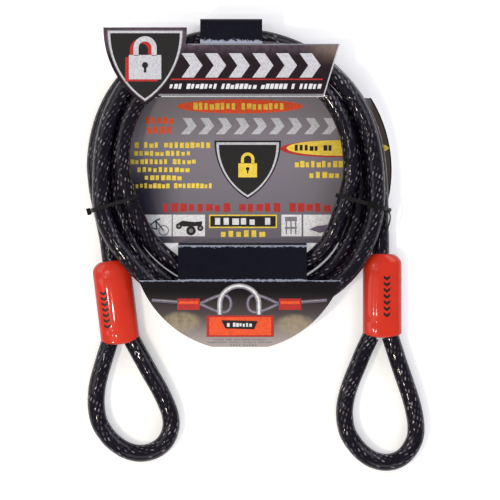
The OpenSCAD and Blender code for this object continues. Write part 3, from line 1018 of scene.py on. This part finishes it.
def chair(face):
    face.lay(GREY, rect(36, -40, 45, -36.6), 1)
    for x in (37, 40.5, 44):
        face.lay(GREY, rect(x - 0.5, -49.5, x + 0.5, -40), 1)
    face.lay(GREY, rect(36, -45.6, 45, -44.2), 2)


def boat(face):
    face.lay(LILAC, [(54, -46), (60, -43.5), (68, -42.5), (74, -39), (74, -47), (62, -48.6)], 1)


# The panel's yellow block of small print: [from x, to x, y, height, bars in each word]
PANEL_LINES = [
    (-77, -19.5, 17.2, 4.4, [1, 3, 9]), (-77.5, -34, 11.0, 3.8, [11]),
    (-80, -30.5, 4.8, 3.8, [8, 5]), (-75, -35, -1.2, 3.8, [10]),
    (-69.5, -41, -7.3, 3.8, [7]), (-79.5, -18, -13.3, 3.8, [9, 9])]
# The four small pictures' frames: [from x, to x]
PICTURES = [(-74, -49), (-48.2, -24), (33.3, 48.4), (49.7, 82)]


def panel_print():
    """Blocks of small print, two lozenges, a shield and four small pictures."""
    face = Print("panel", "coil", "card_print", CARD_T)
    face.lay(ORANGE, ellipse(2.2, 46.2, 47.5, 5.3))
    greeked(face, YELLOW, -33, 36, 46.4, 5.2, [8, 8], 1, seed=5)
    greeked(face, ORANGE, -69, -47, 35.6, 5.4, [5], seed=6)
    greeked(face, ORANGE, -68, -48, 28.4, 5.4, [4], seed=7)
    for i in range(9):
        face.lay(SILVER, chevron(-41.5 + 13.2 * i, 31.4, 11.2, 12.2, 6.4, 0.12))
    for row, line in enumerate(PANEL_LINES):
        greeked(face, YELLOW, *line, seed=10 + row)
    face.lay(BLACK, shield(8, 20.6, 50, 44))
    face.lay(SILVER, shield(8, 19.2, 47, 41.2), 1)
    face.lay(BLACK, shield(8, 17.4, 43.2, 37.8), 2)
    padlock(face, 8, 3.5, 14, YELLOW, 3)
    keyhole(face, 8, -0.6, 2.8, BLACK, 4)
    face.lay(RED, ellipse(73, 14.4, 40.6, 6.3))
    face.lay(YELLOW, ellipse(75.5, 15, 38.4, 5.8), 1)
    greeked(face, BLACK, 43, 72, 15.2, 4.6, [5, 2], 2, seed=20)
    greeked(face, YELLOW, 43, 84, 2.9, 4.8, [10], seed=21)
    greeked(face, YELLOW, 54, 78, -5.2, 4.6, [5], seed=22)
    greeked(face, RED, -56, 71, -29.6, 6.6, [8, 5, 5], seed=23)
    for x0, x1 in PICTURES:
        face.lay(WHITE, rect(x0, -51.2, x1, -35))
    for picture in (bicycle, buggy, chair, boat):
        picture(face)
    face.lay(YELLOW, rect(-21, -45, 30, -35))
    face.lay(BLACK, rect(-20, -44, 29, -36), 1)
    greeked(face, WHITE, -17, 27, -40, 5.2, [5, 1], 2, seed=30)
    greeked(face, YELLOW, -12.5, 22, -49.2, 5.0, [6], seed=31)
    face.finish()


FLAP_MIDDLE = 1.8
# The flap's smallest print: [from x, to x, bars in each word]
FLAP_LINES = [(-17, 22, [5, 3, 3, 4, 7]), (-22, 26, [9, 5, 4, 1, 6]), (-5, 15, [4, 5])]


def cable_picture(face, m):
    """Half of the cable that the flap's padlock joins: m is its side, -1 or 1."""
    near, far, end = (m * d + FLAP_MIDDLE for d in (29.5, 46, 65))
    face.lay(LILAC, stroke((near, -101.3), (end, -98.8), 2.4))
    face.lay(STEEL, stroke((near, -101.0), (end, -98.5), 0.6), 1)
    eye = [(m * (6.2 + 23.3 * t * t) + FLAP_MIDDLE, -101.4 + 6.4 * math.sin(math.pi * t))
           for t in spaced(-1, 1, 33)]
    face.lay(LILAC, ribbon(eye, 2.2))
    face.lay(STEEL, ribbon(eye, 0.6), 1)
    face.lay(RED, rect(near, -106, far, -97.6), 1)
    face.lay(ORANGE, rect(m * 30.5 + FLAP_MIDDLE, -101.6, m * 45 + FLAP_MIDDLE, -99.6), 2)


def flap_print():
    """A padlock through the eyes of a cable, and three lines of small print."""
    face = Print("flap", "flap", "card_print", FLAP_Z + CARD_T)
    for m in (-1, 1):
        cable_picture(face, m)
    for tint, r_outer, r_inner, level in ((STEEL, 16.4, 12.4, 3), (WHITE, 15.3, 13.9, 4),
                                          (LILAC, 12.9, 12.4, 4)):
        face.lay(tint, arch(FLAP_MIDDLE, -101.5, r_outer, r_inner, 8, 0.92), level)
    face.lay(RED, rect(-22.5, -126, 27.5, -110.2), 3)
    face.lay(ORANGE, rect(-20.5, -124.8, 25.5, -111.4), 4)
    face.lay(BLACK, [(-11.5, -113.6), (15.5, -114.2), (12.8, -120.4), (-8.6, -119.8)], 5)
    greeked(face, WHITE, -7.5, 11.5, -117, 3.0, [1, 6], 6, seed=50)
    for row, (x0, x1, words) in enumerate(FLAP_LINES):
        greeked(face, GREY, x0, x1, -128.1 - 2.0 * row, 1.2, words, 1, seed=40 + row)
    face.finish()


header_print()
panel_print()
flap_print()

# ---- Floor and light -----------------------------------------------------------------------

floor_mat, floor_shader = new_material("floor")
feed(floor_mat, floor_shader, {
    "Base Color": ramp(floor_mat, noise(floor_mat, coords(floor_mat), 3.0),
                       [(0.3, (0.88, 0.88, 0.88)), (0.7, (0.91, 0.91, 0.91))]),
    "Roughness": 0.9,
    "Specular IOR Level": 0.0,
    "Emission Color": (1, 1, 1, 1),
    "Emission Strength": 0.30})
FLOOR_HALF = 3000
FLOOR_Z = -0.3
corners = [(x * FLOOR_HALF, y * FLOOR_HALF, FLOOR_Z) for x, y in ((-1, -1), (1, -1), (1, 1), (-1, 1))]
floor = new_piece("floor", corners, [(0, 1, 2, 3)], floor_mat, shade=False)

world = bpy.data.worlds.new("studio")
world.use_nodes = True
world.node_tree.nodes["Background"].inputs["Color"].default_value = (0.93, 0.95, 1.0, 1)
world.node_tree.nodes["Background"].inputs["Strength"].default_value = 0.38
bpy.context.scene.world = world

# Name, place (m), size (m), power (W), colour
LIGHTS = [
    ("glint_low", (-0.85, -0.62, 1.8), (0.06, 0.22), 11.0, (1.0, 0.88, 0.70)),
    ("glint_left", (-0.78, -0.19, 1.8), (0.04, 0.07), 1.6, (1.0, 0.93, 0.84)),
    ("glint_middle", (-0.38, -0.19, 1.9), (0.04, 0.07), 1.6, (1.0, 0.93, 0.84)),
    ("soft_right", (1.0, 0.9, 1.0), (1.2, 1.2), 13, (0.90, 0.90, 1.0)),
    ("soft_left", (-1.3, 0.4, 1.0), (1.2, 1.2), 9, (1.0, 0.98, 0.96)),
    ("soft_front", (0.2, -1.5, 1.0), (1.5, 0.9), 9, (1.0, 0.98, 0.96))]
target = Vector((0.01, -0.06, 0))
for name, at, size, power, colour in LIGHTS:
    data = bpy.data.lights.new(name, "AREA")
    data.shape = "RECTANGLE"
    data.size, data.size_y = size
    data.energy = power
    data.color = colour
    lamp = bpy.data.objects.new(name, data)
    lamp.location = at
    lamp.rotation_euler = (target - Vector(at)).to_track_quat("-Z", "Y").to_euler()
    bpy.context.scene.collection.objects.link(lamp)
